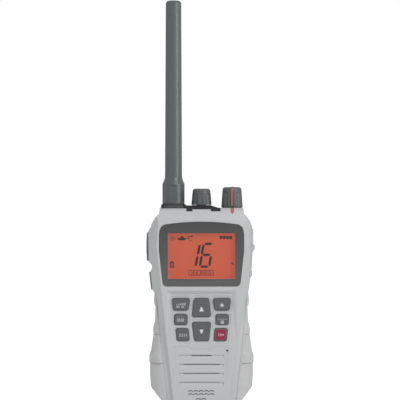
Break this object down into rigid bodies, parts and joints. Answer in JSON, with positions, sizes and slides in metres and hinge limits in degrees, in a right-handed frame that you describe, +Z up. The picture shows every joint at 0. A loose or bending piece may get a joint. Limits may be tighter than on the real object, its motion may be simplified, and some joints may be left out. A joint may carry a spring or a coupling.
{
  "type": "vhf marine radio",
  "caption": "Hand-held floating marine radio with whip antenna, turning knobs, keypad, backlit display, side talk button, battery door, jack cover and belt clip.",
  "frame": {"origin": "middle of the foot that the radio stands on", "axes": "+Z up along the antenna, -Y towards the display and keys, +X towards the side with the jack cover"},
  "size_m": [0.0699, 0.0507, 0.2643],
  "materials": {
    "case_grey": "fine moulded texture",
    "grip_grey": "matte",
    "bezel_grey": "smooth, satin",
    "window_clear": "clear",
    "display_orange": "backlit",
    "backlight_white": "diffusing",
    "black_plastic": "fine texture",
    "key_grey": "satin",
    "key_red": "satin",
    "button_dark": "satin",
    "knob_grey": "satin",
    "pointer_red": "satin",
    "antenna_grey": "matte",
    "seal_black": "matte",
    "board_green": "lacquered",
    "tin": "tinned",
    "steel": "bright",
    "brass": "plated",
    "cone_black": "pressed",
    "battery_black": "smooth"
  },
  "bodies": {
    "case": {"front_cover": "case_grey", "rear_cover": "case_grey", "case_seal": "seal_black", "right_grip": "grip_grey", "left_grip": "grip_grey", "display_bezel": "bezel_grey", "display_window": "window_clear", "display_gasket": "seal_black", "lcd_frame": "black_plastic", "lcd_panel": "display_orange", "lcd_backlight": "backlight_white", "keypad_mat": "seal_black", "main_board": "board_green", "board_screws": "steel", "shield_cans": "tin", "speaker_membrane": "seal_black", "speaker_frame": "steel", "speaker_cone": "cone_black", "microphone": "tin", "mic_boot": "seal_black", "side_board": "board_green", "side_switches": "black_plastic", "jacks": "black_plastic", "contacts": "brass", "top_plate": "black_plastic", "rotary_controls": "steel", "control_nuts": "steel", "top_seals": "seal_black", "antenna_socket": "brass", "case_screws": "steel", "battery_pack": "battery_black", "door_seal": "seal_black", "turning_pins": "steel", "clip_base": "button_dark", "clip_spring": "steel", "clip_screws": "steel"},
    "volume": {"volume_knob": "knob_grey", "volume_shaft": "steel"},
    "squelch": {"squelch_knob": "knob_grey", "squelch_pointer": "pointer_red", "squelch_shaft": "steel"},
    "antenna": {"antenna_sheath": "antenna_grey", "antenna_connector": "brass", "antenna_core": "steel"},
    "talk": {"talk_button": "button_dark"},
    "side": {"side_button": "button_dark"},
    "door": {"battery_door": "case_grey"},
    "latch": {"door_latch": "button_dark"},
    "jack_flap": {"jack_cover": "grip_grey"},
    "clip": {"clip_arm": "button_dark"},
    "key_power_level_body": {"key_power_level": "key_grey"},
    "key_watch_body": {"key_watch": "key_grey"},
    "key_scan_body": {"key_scan": "key_grey"},
    "key_up_body": {"key_up": "key_grey"},
    "key_down_body": {"key_down": "key_grey"},
    "key_light_body": {"key_light": "key_grey"},
    "key_lock_body": {"key_lock": "key_grey"},
    "key_sixteen_body": {"key_sixteen": "key_grey", "sixteen_face": "key_red"}
  },
  "joints": [
    {"name": "volume_turn", "type": "hinge", "parent": "case", "child": "volume", "pos_m": [0, 0, 0.13], "axis": [0, 0, -1], "range_deg": [0, 280]},
    {"name": "squelch_turn", "type": "hinge", "parent": "case", "child": "squelch", "pos_m": [0.0198, 0, 0.13], "axis": [0, 0, -1], "range_deg": [-140, 140]},
    {"name": "antenna_turn", "type": "hinge", "parent": "case", "child": "antenna", "pos_m": [-0.01815, 0, 0.1323], "axis": [0, 0, 1], "range_deg": [0, 1080]},
    {"name": "talk_press", "type": "slide", "parent": "case", "child": "talk", "axis": [1, 0, 0], "range_m": [0, 0.0012], "stiffness_N_per_m": 1500},
    {"name": "side_press", "type": "slide", "parent": "case", "child": "side", "axis": [1, 0, 0], "range_m": [0, 0.0008], "stiffness_N_per_m": 1500},
    {"name": "door_turn", "type": "hinge", "parent": "case", "child": "door", "pos_m": [0, 0.0169, 0.0173], "axis": [-1, 0, 0], "range_deg": [0, 90]},
    {"name": "latch_slide", "type": "slide", "parent": "door", "child": "latch", "axis": [0, 0, 1], "range_m": [0, 0.0025]},
    {"name": "jack_cover_turn", "type": "hinge", "parent": "case", "child": "jack_flap", "pos_m": [0.0325, 0.003, 0.101], "axis": [0, 0, 1], "range_deg": [0, 100]},
    {"name": "clip_turn", "type": "hinge", "parent": "case", "child": "clip", "pos_m": [0, 0.0238, 0.104], "axis": [1, 0, 0], "range_deg": [0, 20], "stiffness_Nm_per_rad": 0.4, "springref_deg": -8.59},
    {"name": "key_power_level_press", "type": "slide", "parent": "case", "child": "key_power_level_body", "axis": [0, 1, 0], "range_m": [0, 0.0006], "stiffness_N_per_m": 1500},
    {"name": "key_watch_press", "type": "slide", "parent": "case", "child": "key_watch_body", "axis": [0, 1, 0], "range_m": [0, 0.0006], "stiffness_N_per_m": 1500},
    {"name": "key_scan_press", "type": "slide", "parent": "case", "child": "key_scan_body", "axis": [0, 1, 0], "range_m": [0, 0.0006], "stiffness_N_per_m": 1500},
    {"name": "key_up_press", "type": "slide", "parent": "case", "child": "key_up_body", "axis": [0, 1, 0], "range_m": [0, 0.0006], "stiffness_N_per_m": 1500},
    {"name": "key_down_press", "type": "slide", "parent": "case", "child": "key_down_body", "axis": [0, 1, 0], "range_m": [0, 0.0006], "stiffness_N_per_m": 1500},
    {"name": "key_light_press", "type": "slide", "parent": "case", "child": "key_light_body", "axis": [0, 1, 0], "range_m": [0, 0.0006], "stiffness_N_per_m": 1500},
    {"name": "key_lock_press", "type": "slide", "parent": "case", "child": "key_lock_body", "axis": [0, 1, 0], "range_m": [0, 0.0006], "stiffness_N_per_m": 1500},
    {"name": "key_sixteen_press", "type": "slide", "parent": "case", "child": "key_sixteen_body", "axis": [0, 1, 0], "range_m": [0, 0.0006], "stiffness_N_per_m": 1500}
  ]
}
